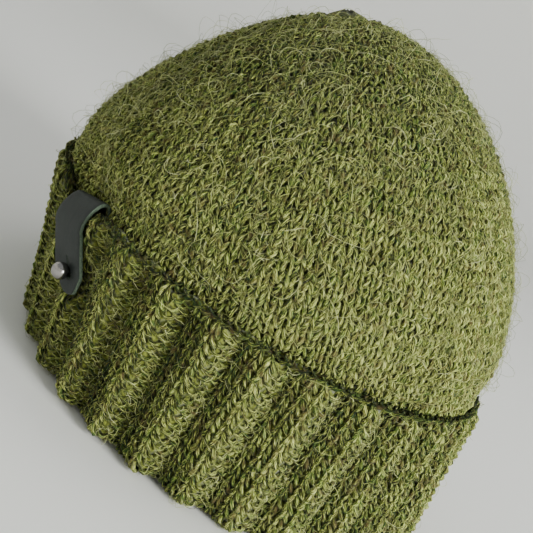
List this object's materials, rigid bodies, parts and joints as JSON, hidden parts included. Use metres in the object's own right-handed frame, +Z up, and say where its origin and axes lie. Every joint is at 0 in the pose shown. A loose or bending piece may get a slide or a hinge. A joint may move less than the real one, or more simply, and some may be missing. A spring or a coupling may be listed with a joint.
{
  "type": "knit beanie",
  "caption": "Knit wool beanie: stockinette crown, turned-up ribbed cuff, and a leather strap tag buttoned over the cuff by a ball stud.",
  "frame": {"origin": "middle of the footprint, on the plane that the cuff's fold stands on", "axes": "+Z up through the crown; +Y towards the wearer's back, along the longer side; +X to the right as seen from the front; the tag is at the front left, and the crown leans towards -X"},
  "size_m": [0.1962, 0.2128, 0.1597],
  "materials": {
    "wool": "heathered olive wool, brushed",
    "yarn": "heathered olive wool yarn",
    "strap_leather": "dark green-black leather, satin, raw cut edge",
    "stud_steel": "polished nickel plate"
  },
  "bodies": {
    "crown": {"crown_shell": "wool", "inner_band": "wool", "closing_loop": "yarn", "closing_tail": "yarn"},
    "cuff": {"turned_cuff": "wool", "cast_on_edge": "yarn", "cast_on_tail": "yarn", "tag_back_leg": "strap_leather", "stud_knob": "stud_steel", "stud_screw": "stud_steel"},
    "tag_flap": {"tag_front_leg": "strap_leather"}
  },
  "joints": [
    {"name": "cuff_slide", "type": "slide", "parent": "crown", "child": "cuff", "axis": [0.2052, 0, -0.9787], "range_m": [0, 0.025]},
    {"name": "tag_hinge", "type": "hinge", "parent": "cuff", "child": "tag_flap", "pos_m": [-0.0689, -0.0764, 0.04927], "axis": [-0.6508, 0.7163, -0.2516], "range_deg": [0, 105]}
  ]
}
